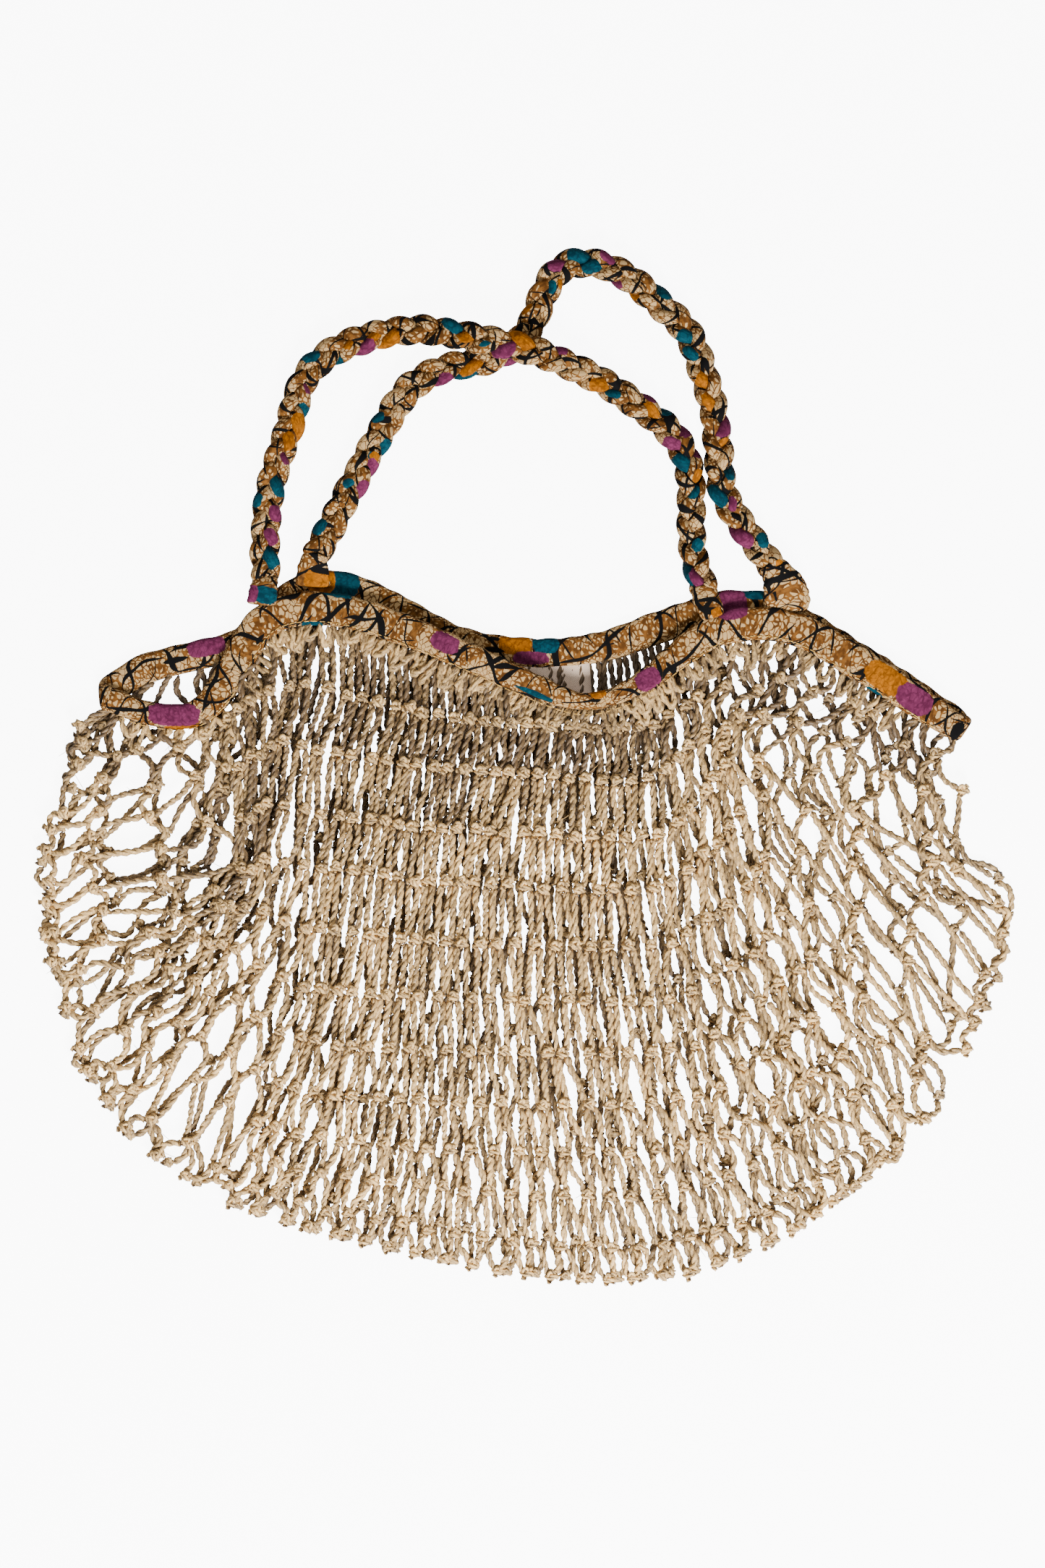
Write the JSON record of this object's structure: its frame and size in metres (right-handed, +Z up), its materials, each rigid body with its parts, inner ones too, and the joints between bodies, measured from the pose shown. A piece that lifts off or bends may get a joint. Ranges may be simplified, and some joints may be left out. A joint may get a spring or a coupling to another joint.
{
  "type": "net bag",
  "caption": "Knotted jute net shopping bag lying flat, its mouth bound in printed cotton, with plaited cloth handles.",
  "frame": {"origin": "centre of the bounding box at the level that the bag lies on", "axes": "+Z up from the surface the bag lies on, +Y from the net's rim to the handles, +X to the right of someone who looks down at it with the handles away from them"},
  "size_m": [0.4368, 0.4706, 0.0202],
  "materials": {
    "jute_twine": "dull hairy twine",
    "printed_cotton": "matte woven cotton, printed",
    "label_tape": "matte woven tape"
  },
  "bodies": {
    "root": {"front_net": "jute_twine", "back_net": "jute_twine", "band": "printed_cotton", "front_handle": "printed_cotton", "back_handle": "printed_cotton", "tab_front_left": "printed_cotton", "tab_front_right": "printed_cotton", "tab_back_left": "printed_cotton", "tab_back_right": "printed_cotton", "label": "label_tape"}
  },
  "joints": []
}
